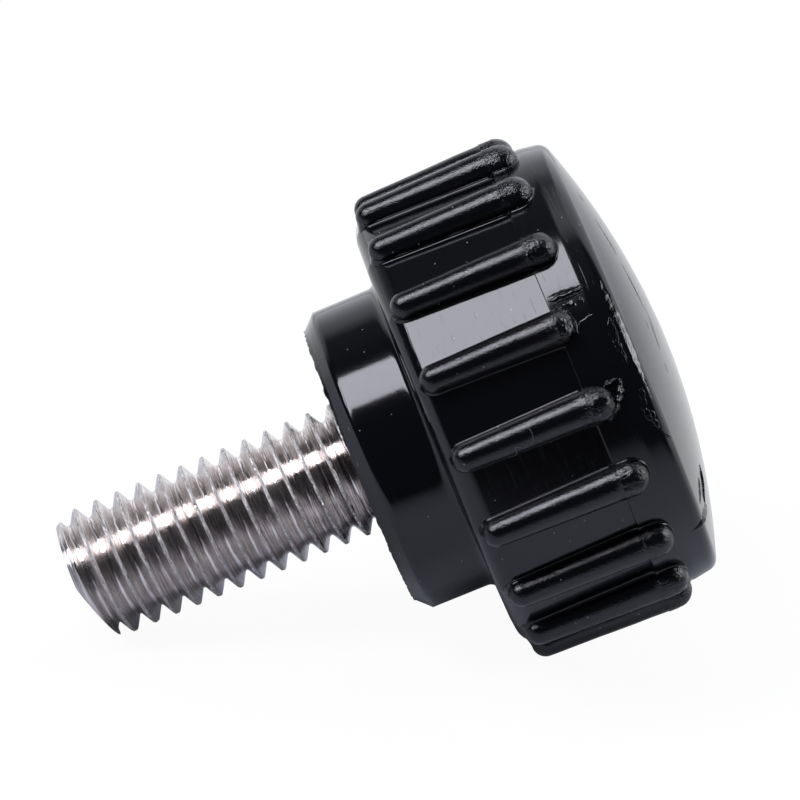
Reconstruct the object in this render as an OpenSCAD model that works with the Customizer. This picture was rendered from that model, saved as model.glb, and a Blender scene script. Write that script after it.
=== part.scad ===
// Thumb screw: a black moulded knob with drafted grip ribs, made around a threaded stud.
// It lies on a flat surface as it comes to rest, on the ends of two ribs and the stud's tip.
// Heights are measured along the screw from the face of the neck: the stud goes down, the knob up.

/* [Stud] */
// Outside diameter of the thread
thread_d = 5.95; // [5:0.05:7]
// Advance of the thread in one turn
thread_pitch = 1; // [0.8:0.05:1.25]
// Height above the neck's face of a crest, on the side that lies down
crest_offset = 0.25; // [0:0.05:1]
// Length of stud that stands out of the knob
stud_len = 13.3; // [9:0.1:25]
// Length of the lead at the stud's tip
lead_len = 0.8; // [0.4:0.05:1.5]
// How much the lead takes off the thread's radius at the tip
lead_depth = 0.42; // [0.2:0.02:0.6]

/* [Anchor inside the knob] */
// Depth of the hexagon below the neck's face
anchor_depth = 6.6; // [5:0.1:8]
// Width of the hexagon across its flats
anchor_af = 10; // [8:0.1:12]
// Thickness of the hexagon
anchor_h = 4; // [3:0.1:5]

/* [Neck] */
// Diameter of the neck
neck_d = 13.9; // [10:0.1:16]
// Height of the neck
neck_h = 3.55; // [2:0.05:8]
// Width of the bevel round the neck's face
neck_bevel = 0.6; // [0.2:0.05:1.2]
// Radius of the fillet between neck and head
neck_fillet = 0.4; // [0.1:0.05:0.8]

/* [Head] */
// Diameter of the head's round wall
head_d = 20.2; // [19:0.1:26]
// Height of the head's wall, up to the corner that the rim's rounding takes off
wall_h = 9.1; // [8.6:0.02:11]
// Radius of the domed top
dome_r = 29.5; // [20:0.5:60]
// Radius that rounds the edge next to the neck
edge_round = 1; // [0.4:0.05:1.1]
// Height of the mould's parting line above the head's underside
parting_h = 6.5; // [5:0.02:7]
// How far the corners between the flats lie inside the round wall
corner_inset = 0.02; // [0.02:0.01:0.1]
// Height at which the wall starts to taper towards the rim
taper_h = 8.05; // [7.6:0.05:8.3]
// Taper of the wall below the rim, in degrees
taper_angle = 9; // [3:0.5:15]
// Radius that rounds the rim of the dome
rim_round = 0.57; // [0.3:0.01:0.9]

/* [Ribs] */
// Number of ribs, with a flat between each two
rib_count = 18; // [14:2:24]
// How far a rib's own axis lies outside the round wall
rib_axis_out = 0.1; // [-0.1:0.02:0.3]
// Width of a rib at its end by the neck
rib_low_w = 1.26; // [0.9:0.01:1.5]
// Width of a rib at the parting line
rib_high_w = 1.6; // [1.3:0.01:2]
// Gap between the head's underside and the start of a rib
rib_start = 0.35; // [0.1:0.05:1]
// Height above the head's underside at which a rib ends
rib_end = 7.82; // [7.6:0.02:8.2]
// How far a rib stands wider past the parting line, on each side
rib_step = 0.05; // [0.02:0.01:0.12]
// How far that wider heel laps back over the parting line
heel_lap = 0.04; // [0.02:0.01:0.1]

/* [Hidden] */
$fn = 96;
black_plastic = "#1b1c1f";
plated_steel = "#b4afab";

// Heights from the neck's face
flats_z = neck_h + edge_round;
parting_z = neck_h + parting_h;
taper_z = neck_h + taper_h;
wall_z = neck_h + wall_h;

// Round wall, and the flats between the ribs. The rounded edge ends a hair inside the flats.
neck_r = neck_d / 2;
head_r = head_d / 2;
rib_pitch = 360 / rib_count;
flat_r = (head_r - corner_inset) * cos(rib_pitch / 2);
edge_gap = 0.005;
edge_centre_r = flat_r - edge_gap - edge_round;

// Dome: a sphere through the corner at the top of the tapered wall
corner_r = head_r - (wall_h - taper_h) * tan(taper_angle);
dome_centre = [0, wall_z - sqrt(dome_r * dome_r - corner_r * corner_r)];
knob_h = dome_centre[1] + dome_r;

// Rim: its rounding touches the tapered wall and the dome from inside.
// Its centre starts beside the foot of the taper, moved in by the radius, and slides up the
// taper until it is dome_r - rim_round from the dome's centre.
wall_out = [cos(taper_angle), sin(taper_angle)];
wall_up = [-sin(taper_angle), cos(taper_angle)];
slide_from = [head_r, taper_z] - rim_round * wall_out;
from_dome = slide_from - dome_centre;
slide_along = from_dome * wall_up;
slide_gap = from_dome * from_dome - pow(dome_r - rim_round, 2);
rim_centre = slide_from + (sqrt(pow(slide_along, 2) - slide_gap) - slide_along) * wall_up;
rim_on_wall = rim_centre + rim_round * wall_out;
rim_on_dome = dome_centre + (rim_centre - dome_centre) * dome_r / norm(rim_centre - dome_centre);

// Ribs: round ends on a tapered bar, with a wider heel from just below the parting line
rib_axis_r = head_r + rib_axis_out;
rib_low_r = rib_low_w / 2;
rib_high_r = rib_high_w / 2;
heel_r = rib_high_r + rib_step;
rib_low_z = neck_h + rib_start + rib_low_r;
step_z = parting_z - heel_lap;
heel_z = neck_h + rib_end - heel_r;

// Thread of the usual metric form: crests an eighth of the pitch wide, flanks at 30 degrees.
// The groove's section opens a little past the crests, so that it cuts clean through them.
thread_r = thread_d / 2;
tip_r = thread_r - lead_depth;
crest_w = thread_pitch / 8;
root_r = thread_r - 0.6134 * thread_pitch;
mouth_r = thread_r + 0.4 * crest_w;
flank_slope = tan(30);
function groove_half_w(r) = (thread_pitch - crest_w) / 2 - (thread_r - r) * flank_slope;
groove_section = [
    [mouth_r, -groove_half_w(mouth_r)],
    [mouth_r, groove_half_w(mouth_r)],
    [root_r, groove_half_w(root_r)],
    [root_r, -groove_half_w(root_r)]
];
steps_per_turn = 24;
groove_steps = ceil((stud_len / thread_pitch + 3) * steps_per_turn);
groove_top = 2 * thread_pitch + crest_offset - thread_pitch / 2;

// Rest: the lean of the screw is the angle of the line that touches the round ends of the two
// lowest ribs and the stud's lead. Those ribs lie half a step to each side of straight down.
rest_rib = [rib_low_z, rib_axis_r * cos(rib_pitch / 2)];
function lean_from(p) = let (gap = rest_rib - p)
    atan2(gap[1], gap[0]) + asin(rib_low_r / norm(gap));
tip_edge = [-stud_len, tip_r];
lead_edge = [lead_len - stud_len, thread_r];
lean = max(lean_from(tip_edge), lean_from(lead_edge));

// Reach along the surface, and height, of a point given by its height and radius on the low side
function reach(p) = p[0] * cos(lean) + p[1] * sin(lean);
function above(p) = p[0] * sin(lean) - p[1] * cos(lean);
heel_low = [heel_z, rest_rib[1]];
reach_high = max(reach([rim_centre[1], rim_centre[0]]) + rim_round, reach(heel_low) + heel_r);
reach_low = reach([-stud_len, -tip_r]);
rest_shift = [-(reach_high + reach_low) / 2, 0, rib_low_r - above(rest_rib)];

// Turns the screw from upright into its rest on the surface
module at_rest() {
    translate(rest_shift) rotate([0, 90 - lean, 0]) children();
}

// Section of the neck and of the head's underside: bevel, fillet and rounded edge
module neck_section() {
    polygon([[0, 0], [neck_r - neck_bevel, 0], [neck_r, neck_bevel], [neck_r, flats_z], [0, flats_z]]);
    difference() {
        translate([neck_r, neck_h - neck_fillet]) square(neck_fillet);
        translate([neck_r + neck_fillet, neck_h - neck_fillet]) circle(neck_fillet);
    }
    intersection() {
        translate([0, neck_h]) square([head_r, edge_round]);
        union() {
            square([edge_centre_r, flats_z]);
            translate([edge_centre_r, flats_z]) circle(edge_round);
        }
    }
}

// Outline of the head between the rounded edge and the parting line: a flat for each gap
module flats_outline() {
    polygon([for (k = [0 : rib_count - 1]) let (turn = (k + 0.5) * rib_pitch)
        (head_r - corner_inset) * [cos(turn), sin(turn)]]);
}

// Section of the head past the parting line: wall, taper, rim and dome
module crown_section() {
    intersection() {
        translate(dome_centre) circle(dome_r, $fn = 360);
        polygon([
            [0, parting_z], [head_r, parting_z], [head_r, taper_z],
            rim_on_wall, rim_on_dome, [rim_on_dome[0], knob_h + rim_round], [0, knob_h + rim_round]
        ]);
    }
    translate(rim_centre) circle(rim_round);
}

// One rib, upright on its own axis: a tapered bar with round ends and a wider heel
module rib() {
    rotate_extrude() intersection() {
        square([heel_r, wall_z]);
        union() {
            translate([0, rib_low_z]) circle(rib_low_r);
            polygon([
                [0, rib_low_z], [rib_low_r, rib_low_z], [rib_high_r, step_z],
                [heel_r, step_z], [heel_r, heel_z], [0, heel_z]
            ]);
            translate([0, heel_z]) circle(heel_r);
        }
    }
}

// A rib on each corner between two flats
module ribs() {
    for (k = [0 : rib_count - 1])
        rotate([0, 0, (k + 0.5) * rib_pitch]) translate([rib_axis_r, 0, 0]) rib();
}

// The knob without its ribs: neck, flats up to the parting line, and the domed crown
module body() {
    rotate_extrude() neck_section();
    translate([0, 0, flats_z]) linear_extrude(height = parting_z - flats_z) flats_outline();
    rotate_extrude() crown_section();
}

// The part of the stud that the knob is moulded around
module anchor() {
    cylinder(h = anchor_depth, r = thread_r);
    translate([0, 0, anchor_depth]) cylinder(h = anchor_h, d = anchor_af / cos(30), $fn = 6);
}

// The thread's groove: its section carried down a right-hand helix, past both ends
module thread_groove() {
    function ring(i) = let (turn = 360 * i / steps_per_turn)
        [for (p = groove_section) [
            p[0] * cos(turn), -p[0] * sin(turn),
            groove_top - p[1] - thread_pitch * i / steps_per_turn]];
    points = [for (i = [0 : groove_steps]) each ring(i)];
    walls = [for (i = [0 : groove_steps - 1], k = [0 : 3]) let (a = 4 * i, next = (k + 1) % 4)
        each [[a + k, a + next, a + 4 + next], [a + k, a + 4 + next, a + 4 + k]]];
    last = 4 * groove_steps;
    ends = [[3, 2, 1, 0], [last, last + 1, last + 2, last + 3]];
    polyhedron(points, concat(walls, ends));
}

module knob() {
    color(black_plastic) at_rest() difference() {
        union() {
            body();
            ribs();
        }
        anchor();
    }
}

module stud() {
    color(plated_steel) at_rest() {
        anchor();
        difference() {
            translate([0, 0, -stud_len]) {
                cylinder(h = lead_len, r1 = tip_r, r2 = thread_r);
                translate([0, 0, lead_len]) cylinder(h = stud_len - lead_len, r = thread_r);
            }
            thread_groove();
        }
    }
}

knob();
stud();
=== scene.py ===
# %% [markdown]
# # A black thumb screw with a steel stud
#
# The real screw is two pieces: a glossy black knob moulded in one shot, and a plated steel stud that
# the knob was moulded around. It lies on white paper as it comes to rest, on the ends of two grip ribs
# and the stud's tip, so its own axis leans up from the paper. The exact solids come from the packed
# frame. This lesson dresses them: the small rounds, the flash of the mould, the thread's rolled roots,
# the scuffs, and above all the reflections, because gloss black is nothing but reflections.

import math

import bpy
import numpy as np
from mathutils import Matrix, Vector


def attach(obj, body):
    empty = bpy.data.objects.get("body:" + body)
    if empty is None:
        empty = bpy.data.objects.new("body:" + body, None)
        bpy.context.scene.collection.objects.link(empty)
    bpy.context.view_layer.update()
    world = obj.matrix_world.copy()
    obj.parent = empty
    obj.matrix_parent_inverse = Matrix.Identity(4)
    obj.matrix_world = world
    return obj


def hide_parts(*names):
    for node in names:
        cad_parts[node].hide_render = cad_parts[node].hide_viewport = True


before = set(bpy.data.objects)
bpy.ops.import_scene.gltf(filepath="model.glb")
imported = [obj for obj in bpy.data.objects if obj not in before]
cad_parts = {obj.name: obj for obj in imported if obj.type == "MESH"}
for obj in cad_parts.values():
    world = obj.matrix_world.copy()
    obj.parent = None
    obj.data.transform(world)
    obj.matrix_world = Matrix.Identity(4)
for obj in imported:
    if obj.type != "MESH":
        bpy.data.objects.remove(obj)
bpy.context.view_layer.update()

# %% [markdown]
# ## The screw's own frame
#
# Everything on the screw is easier to say along and around its own axis than along X, Y and Z. A point
# is given by its height from the neck's face (the stud goes down, the head up), its distance from the
# axis and its turn about the axis, counted from straight down. All sizes are in millimetres until the
# last step, which turns them into the frame's metres.

# %% Place points by height, radius and turn
LEAN = math.radians(24.653140)
NECK_FACE = np.array([-1.229030, 0.0, 7.869859])
ALONG = np.array([math.cos(LEAN), 0.0, math.sin(LEAN)])
DOWN = np.array([math.sin(LEAN), 0.0, -math.cos(LEAN)])
SIDE = np.array([0.0, 1.0, 0.0])


def place(height, across, side):
    """A point is the neck's face, plus height along the axis, plus across straight down, plus side along Y."""
    height, across, side = np.broadcast_arrays(height, across, side)
    return (NECK_FACE + height[..., None] * ALONG + across[..., None] * DOWN + side[..., None] * SIDE) / 1000


def around(height, radius, turn):
    """A point at a turn about the axis lies radius times the turn's cosine down and its sine to the side."""
    return place(height, radius * np.cos(turn), radius * np.sin(turn))


print("neck face at", NECK_FACE, "mm, axis along", ALONG.round(4))

# %% [markdown]
# ## The camera
#
# The photograph was taken through a long lens from a little above the paper, turned slightly so that
# a sliver of the domed top shows. The camera's back vector is built from the screw's axis: a small
# swing towards the dome, then a lift about the axis. A roll of a few degrees finishes the view.

# %% Set the camera
CAMERA_SWING = math.radians(1.329)
CAMERA_LIFT = math.radians(27.285)
CAMERA_ROLL = math.radians(4.456)
CAMERA_DISTANCE = 200.0
AIM_ALONG, AIM_UP = 2.686, 2.211
FOCAL_PIXELS = 4611.0
PHOTO_WIDTH = 800
SENSOR = 36.0

to_front = -math.cos(CAMERA_LIFT) * SIDE - math.sin(CAMERA_LIFT) * DOWN
to_top = math.sin(CAMERA_LIFT) * SIDE - math.cos(CAMERA_LIFT) * DOWN
back = math.sin(CAMERA_SWING) * ALONG + math.cos(CAMERA_SWING) * to_front
aim = NECK_FACE + AIM_ALONG * ALONG - AIM_UP * DOWN
level_right = np.cross([0.0, 0.0, 1.0], back)
level_right = level_right / np.linalg.norm(level_right)
level_up = np.cross(back, level_right)
right = math.cos(CAMERA_ROLL) * level_right + math.sin(CAMERA_ROLL) * level_up
up = math.cos(CAMERA_ROLL) * level_up - math.sin(CAMERA_ROLL) * level_right


def pose_matrix(x_axis, y_axis, z_axis, origin):
    """A pose's columns are its three axes and its origin."""
    turn = Matrix(np.array([x_axis, y_axis, z_axis]).T.tolist()).to_4x4()
    return Matrix.Translation(Vector(origin)) @ turn


camera_data = bpy.data.cameras.new("camera")
camera_data.sensor_width = SENSOR
camera_data.lens = FOCAL_PIXELS * SENSOR / PHOTO_WIDTH
camera_data.clip_start = 0.01
camera = bpy.data.objects.new("camera", camera_data)
camera.matrix_world = pose_matrix(right, up, back, (aim + CAMERA_DISTANCE * back) / 1000)
bpy.context.collection.objects.link(camera)
bpy.context.scene.camera = camera
print("lens", round(camera_data.lens, 1), "mm at", [round(v, 4) for v in camera.location])

# %% [markdown]
# ## Grids of points into meshes
#
# Each surface is worked out as a grid of points, a function of two parameters. One helper turns the
# grid into faces. It can join the last column to the first, for shapes that go right round, and close
# an end with a fan, so that no hole is left. A second attribute, the lay, keeps each point's height,
# arc and radius in millimetres, so that scratches and streaks can follow the surface.

# %% Make a mesh from a grid


def grid_faces(rows, columns, wrap):
    """Face (i, j) joins point (i, j) to its neighbours on the next row and the next column."""
    i, j = np.meshgrid(np.arange(rows - 1), np.arange(columns if wrap else columns - 1), indexing="ij")
    k = (j + 1) % columns
    quads = np.stack([i * columns + j, i * columns + k, (i + 1) * columns + k, (i + 1) * columns + j], -1)
    return quads.reshape(-1, 4)


def smooth_mesh(name, points, quads, lay, masks):
    """A mesh object with its points and quads, smooth shading, and the lay and masks kept as attributes."""
    mesh = bpy.data.meshes.new(name)
    mesh.from_pydata(points.reshape(-1, 3).tolist(), [], quads.tolist())
    mesh.polygons.foreach_set("use_smooth", np.ones(len(mesh.polygons), dtype=bool))
    mesh.attributes.new("lay", "FLOAT_VECTOR", "POINT").data.foreach_set("vector", lay.astype(np.float32).ravel())
    for mask_name, values in masks.items():
        mesh.attributes.new(mask_name, "FLOAT", "POINT").data.foreach_set("value", values.astype(np.float32).ravel())
    mesh.validate()
    piece = bpy.data.objects.new(name, mesh)
    bpy.context.collection.objects.link(piece)
    print(name, len(mesh.vertices), "points", len(mesh.polygons), "faces")
    return piece


# %% [markdown]
# ## Smooth random values
#
# Real damage is irregular but not wild. A sum of a few waves with seeded directions and phases gives
# a smooth random value at any point, the same in each run.

# %% Seeded waves


def waves(points, size, seed, count=14):
    """The mean of many sine waves in random directions, about size long, scaled to run from -1 to 1."""
    rng = np.random.default_rng(seed)
    total = np.zeros(points.shape[:-1])
    for _ in range(count):
        direction = rng.normal(size=points.shape[-1])
        direction /= np.linalg.norm(direction)
        length = size * rng.uniform(0.6, 1.6)
        total += np.sin(2 * np.pi * (points @ direction) / length + rng.uniform(0, 2 * np.pi))
    return total / math.sqrt(count)


def blend(low, high, x):
    """A smooth step: 0 below low, 1 above high, and an S between them."""
    t = np.clip((x - low) / (high - low), 0, 1)
    return t * t * (3 - 2 * t)


# %% [markdown]
# ## The knob's body
#
# Neck, head and dome are one profile carried round the axis. Up to the mould's parting line the head
# has a flat between each two ribs, so there the section is a polygon: its radius at a turn is the
# distance to the flat divided by the cosine of the turn from the flat's middle. The rounded edge next
# to the neck follows the straight flats too, which is why its highlight breaks at each rib.

# %% Profile of the body
RIB_COUNT = 18
PITCH = 2 * np.pi / RIB_COUNT
NECK_HEIGHT, NECK_R, NECK_BEVEL, NECK_FILLET = 3.55, 6.95, 0.6, 0.4
WALL_R, FLAT_R, EDGE_ROUND = 10.1, 9.9269, 1.0
PARTING = 10.05
TAPER_START, TAPER = 11.6, math.radians(9)
RIM_CENTRE, RIM_ROUND = (12.22487, 9.42393), 0.57
DOME_R, KNOB_TOP = 29.5, 14.37282


def arc(centre, radius, start, stop, count):
    """Heights and radii on an arc: centre plus radius times the sine and cosine of an angle from start to stop."""
    angle = np.radians(np.linspace(start, stop, count))
    return np.stack([centre[0] + radius * np.sin(angle), centre[1] + radius * np.cos(angle)], -1)


def line(start, stop, count):
    """Evenly spaced heights and radii from start to stop, without the last."""
    return np.linspace(start, stop, count, endpoint=False)


def body_profile():
    """Rows of height, radius and squareness, where squareness 1 makes the section a polygon of flats."""
    tight = 0.012
    face = [[0, 0.0], [0, 3.2], [0, 5.0], [0, 6.15], [-0.01, 6.25], [-0.03, 6.3], [-0.03, 6.34], [0.0, 6.37]]
    bevel = line([0.03, 6.39], [NECK_BEVEL - 0.03, NECK_R - 0.03], 5)
    wall = line([NECK_BEVEL - 0.02, NECK_R - 0.015], [NECK_HEIGHT - NECK_FILLET, NECK_R], 12)
    fillet = arc((NECK_HEIGHT - NECK_FILLET, NECK_R + NECK_FILLET), NECK_FILLET, 180, 90, 8)
    under = line([NECK_HEIGHT, NECK_R + NECK_FILLET + 0.05], [NECK_HEIGHT, FLAT_R - EDGE_ROUND - 0.02], 5)
    edge = arc((NECK_HEIGHT + EDGE_ROUND, FLAT_R - EDGE_ROUND), EDGE_ROUND, -90, 0, 14)
    flats = line([NECK_HEIGHT + EDGE_ROUND + 0.05, FLAT_R], [PARTING - tight, FLAT_R], 12)
    step = [[PARTING - 3 * tight, FLAT_R], [PARTING - tight, FLAT_R], [PARTING, FLAT_R + tight]]
    crown = [[PARTING + 0.002, WALL_R - tight], [PARTING + tight, WALL_R]]
    crown_wall = np.vstack([line([PARTING + 0.05, WALL_R], [TAPER_START - 0.03, WALL_R], 8), [[TAPER_START - 0.03, WALL_R]]])
    taper_end = arc(RIM_CENTRE, RIM_ROUND, 9, 9.5, 2)[0]
    taper = line([TAPER_START + 0.02, WALL_R - 0.003], taper_end, 6)
    rim_top = math.degrees(math.atan2(RIM_CENTRE[0] + DOME_R - KNOB_TOP, RIM_CENTRE[1]))
    rim = arc(RIM_CENTRE, RIM_ROUND, 9, rim_top, 12)
    dome_edge = rim[-1, 1]
    radii = dome_edge * np.array([0.99, 0.95, 0.9, 0.84, 0.77, 0.69, 0.6, 0.5, 0.39, 0.27, 0.14, 0.0])
    dome = np.stack([KNOB_TOP - DOME_R + np.sqrt(DOME_R**2 - radii**2), radii], -1)
    square = [under, edge, flats, step]
    smooth = [crown, crown_wall, taper, rim, dome]
    parts = [(face, 0), (bevel, 0), (wall, 0), (fillet, 0)] + [(p, 1) for p in square] + [(p, 0) for p in smooth]
    rows = [np.column_stack([np.array(p), np.full(len(p), float(flat))]) for p, flat in parts]
    return np.vstack(rows)


profile = body_profile()
print("profile rows", len(profile), "heights", profile[:, 0].min(), "to", profile[:, 0].max())

# %% Carry the profile round
CORNER_OFFSETS = np.array([-9.97, -9.6, -9.0, -8.0, -7.0, -6.0, -5.0, -4.0, -3.0, -2.0, -1.0, 0.0,
                           1.0, 2.0, 3.0, 4.0, 5.0, 6.0, 7.0, 8.0, 9.0, 9.6, 9.97])
flat_middles = np.arange(RIB_COUNT) * math.degrees(PITCH)
turns = np.radians((flat_middles[:, None] + CORNER_OFFSETS[None, :]).ravel())
from_middle = np.tile(np.radians(CORNER_OFFSETS), RIB_COUNT)


def body_radius(rows, turn_from_middle):
    """The radius is the profile's own, or on flats the profile's divided by the cosine from the flat's middle."""
    polygon = rows[:, 1:2] / np.cos(turn_from_middle)[None, :]
    return rows[:, 1:2] * (1 - rows[:, 2:3]) + polygon * rows[:, 2:3]


body_r = body_radius(profile, from_middle)
body_h = np.repeat(profile[:, 0:1], len(turns), axis=1)
body_turn = np.repeat(turns[None, :], len(profile), axis=0)
round_face = np.stack([np.cos(turns) * 6.35, np.sin(turns) * 6.35], -1)
flash = 0.45 + 0.4 * waves(round_face, 0.7, 3) + 0.3 * waves(round_face, 0.3, 4)
flash_rows = np.isin(np.arange(len(profile)), [5, 6])
body_h = body_h - flash_rows[:, None] * 0.05 * np.clip(flash, 0, 1.3)[None, :]
body_points = around(body_h, body_r, body_turn)
body_lay = np.stack([body_h, body_turn * body_r, body_r], -1)
quads = grid_faces(len(profile), len(turns), True)
body = smooth_mesh("knob_body", body_points, quads, body_lay, {"frost": np.zeros(body_r.shape)})

# %% [markdown]
# ## The ribs
#
# A rib is a bar with round ends, a little thicker at the parting line than at the neck, because the
# mould has to let go of it. Past the parting line the other half of the mould formed its heel, which
# came out slightly wider and crumpled. Each rib is its own closed surface sunk into the body: height
# along the rib is one parameter, the turn about the rib's own axis the other.

# %% Shape of one rib
RIB_AXIS_R = WALL_R + 0.1
RIB_LOW_R, RIB_HIGH_R, HEEL_R = 0.62, 0.77, 0.80
RIB_LOW_H, HEEL_H = 4.53, 10.55


def rib_profile():
    """Rows of height and radius: a quarter round, a slow taper, the step at the parting line, a quarter round."""
    low = arc((RIB_LOW_H, 0), RIB_LOW_R, -90, 0, 12)
    bar = line([RIB_LOW_H + 0.05, RIB_LOW_R], [PARTING - 0.06, RIB_HIGH_R - 0.002], 20)
    step = [[PARTING - 0.05, RIB_HIGH_R], [PARTING - 0.02, HEEL_R - 0.01], [PARTING + 0.01, HEEL_R]]
    heel = line([PARTING + 0.05, HEEL_R], [HEEL_H - 0.03, HEEL_R], 8)
    high = arc((HEEL_H, 0), HEEL_R, 0, 90, 18)
    return np.vstack([low, bar, step, heel, high])


rib_rows = rib_profile()
outer_turns = np.linspace(-100, 100, 45)
rib_turns = np.radians(np.concatenate([outer_turns, [125, 155, 180, 205, 235]]))
RIB_COLUMNS = len(rib_turns)
print("rows in a rib", len(rib_rows), "columns", RIB_COLUMNS)

# %% Heels that the mould tore
# For a rib: how much of the heel's length is left, how much more crumpled it is, and how far it sank
TORN_HEELS = {11: (0.58, 1.7, 0.18), 12: (0.85, 1.6, 0.06), 13: (1.0, 1.5, 0.0)}

# %% Set a rib between each two flats


def rib_surface(index):
    """Points, lay and frost of one rib: its circle at each height sits on the rib's axis, outside the wall."""
    turn = (index + 0.5) * PITCH
    height = np.repeat(rib_rows[:, 0:1], RIB_COLUMNS, axis=1)
    radius = np.repeat(rib_rows[:, 1:2], RIB_COLUMNS, axis=1)
    frost = blend(PARTING - 0.8, PARTING + 0.1, height + 0.1 * np.cos(5 * rib_turns + index))
    at = np.stack([height, radius * np.cos(rib_turns), radius * np.sin(rib_turns)], -1) + 17.0 * index
    torn = TORN_HEELS.get(index, (1.0, 1.0, 0.0))
    crumple = torn[1] * frost * (0.008 * waves(at, 0.42, 21) - 0.008 * np.abs(waves(at, 0.2, 22)))
    sway = 0.006 * waves(at, 1.6, 23)
    radius = radius + (crumple + sway) * np.minimum(1, radius / 0.3)
    past = np.maximum(height - PARTING, 0)
    height = height - past * (1 - torn[0])
    radius = radius - torn[2] * blend(0, 0.9, past) * (0.6 + 0.4 * waves(at, 0.6, 24)) * np.minimum(1, radius / 0.3)
    out = RIB_AXIS_R + radius * np.cos(rib_turns)
    aside = radius * np.sin(rib_turns)
    across = out * math.cos(turn) - aside * math.sin(turn)
    side = out * math.sin(turn) + aside * math.cos(turn)
    lay = np.stack([height, turn * RIB_AXIS_R + aside, out], -1)
    return place(height, across, side), lay, frost


rib_parts = [rib_surface(k) for k in range(RIB_COUNT)]
per_rib = len(rib_rows) * RIB_COLUMNS
rib_quads = np.vstack([grid_faces(len(rib_rows), RIB_COLUMNS, True) + k * per_rib for k in range(RIB_COUNT)])
rib_points = np.concatenate([p[0].reshape(-1, 3) for p in rib_parts])
rib_lay = np.concatenate([p[1].reshape(-1, 3) for p in rib_parts])
rib_frost = np.concatenate([p[2].ravel() for p in rib_parts])
ribs = smooth_mesh("knob_ribs", rib_points, rib_quads, rib_lay, {"frost": rib_frost})

# %% [markdown]
# ## Fillets at the foot of the ribs
#
# No moulded corner is quite sharp. A small hollow fillet runs round the foot of each rib, and it is what
# draws the thin bright lines along the ribs. Its path goes up one side of the rib, round the heel, down
# the other side and round the low end. Across the path its section is a hollow quarter arc that
# touches the rib's side and the body, closed by a point buried inside the body.

# %% Path round the foot of a rib
FOOT_FILLET = 0.09


def foot_path():
    """Rows of height of the centre, rib radius and heading: 0 across the rib, 90 degrees along the screw."""
    rise = np.linspace(RIB_LOW_H, PARTING - 0.05, 14)
    bar = np.stack([rise, RIB_LOW_R + (RIB_HIGH_R - RIB_LOW_R) * (rise - RIB_LOW_H) / (PARTING - 0.05 - RIB_LOW_H),
                    np.zeros(14)], -1)
    heel = np.array([[PARTING + 0.0, HEEL_R, 0], [HEEL_H - 0.2, HEEL_R, 0]])
    ends = np.linspace(0, 180, 25)
    high = np.stack([np.full(25, HEEL_H), np.full(25, HEEL_R), ends], -1)
    low = np.stack([np.full(25, RIB_LOW_H), np.full(25, RIB_LOW_R), ends + 180], -1)
    other = np.vstack([bar, heel])[::-1] + [0, 0, 180]
    return np.vstack([bar[1:], heel, high, other[:-1], low])


def foot_section(rows):
    """Out and across of the section: the fillet's centre lies a fillet above the body and a fillet off the rib."""
    crown = blend(PARTING - 0.04, PARTING, rows[:, 0])
    slope = np.where(crown > 0.5, 0.088, 0.1763) * np.abs(np.cos(np.radians(rows[:, 2])))
    foot = np.where(crown > 0.5, 0.06 + 0.04 * (1 - np.abs(np.cos(np.radians(rows[:, 2])))), 0.12)
    tilt = np.arctan(slope)
    drop = foot * np.cos(tilt)
    along_line = np.sqrt((rows[:, 1] + FOOT_FILLET) ** 2 - (FOOT_FILLET - drop) ** 2)
    centre_u = along_line * np.cos(tilt) + (FOOT_FILLET - drop) * np.sin(tilt)
    centre_v = -along_line * np.sin(tilt) + (FOOT_FILLET - drop) * np.cos(tilt)
    to_rib = np.arctan2(-centre_v, -centre_u)
    to_rib = np.where(to_rib < 0, to_rib + 2 * np.pi, to_rib)
    to_body = 1.5 * np.pi - tilt
    share = np.linspace(0, 1, 8)[None, :]
    angle = to_rib[:, None] * (1 - share) + to_body[:, None] * share
    reach = centre_u[:, None] + FOOT_FILLET * np.cos(angle)
    out = centre_v[:, None] + FOOT_FILLET * np.sin(angle)
    return np.column_stack([reach, rows[:, 1] - 0.08]), np.column_stack([out, out[:, -1] - 0.06])


path = foot_path()
foot_reach, foot_out = foot_section(path)
foot_heading = np.radians(path[:, 2])[:, None]
foot_aside = foot_reach * np.cos(foot_heading)
foot_height = path[:, 0:1] + foot_reach * np.sin(foot_heading)


def foot_surface(index):
    """Points and lay of the fillet round one rib, turned to the rib's place on the head."""
    turn = (index + 0.5) * PITCH
    lost = 1 - TORN_HEELS.get(index, (1.0, 1.0, 0.0))[0]
    share = np.append(np.linspace(0, 1, foot_out.shape[1] - 1), 1.0)
    inside = np.clip(NECK_HEIGHT + EDGE_ROUND - foot_height, 0, EDGE_ROUND)
    round_drop = EDGE_ROUND - np.sqrt(EDGE_ROUND**2 - inside**2)
    out = RIB_AXIS_R + foot_out - 0.8 * lost * blend(0.1, 0.4, foot_height - PARTING) - share * round_drop
    across = out * math.cos(turn) - foot_aside * math.sin(turn)
    side = out * math.sin(turn) + foot_aside * math.cos(turn)
    return place(foot_height, across, side), np.stack([foot_height, turn * RIB_AXIS_R + foot_aside, out], -1)


def ring_faces(rows, columns):
    """Faces of a closed ring: both the path and the section join up with their own start."""
    i, j = np.meshgrid(np.arange(rows), np.arange(columns), indexing="ij")
    n, k = (i + 1) % rows, (j + 1) % columns
    return np.stack([i * columns + j, i * columns + k, n * columns + k, n * columns + j], -1).reshape(-1, 4)


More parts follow.
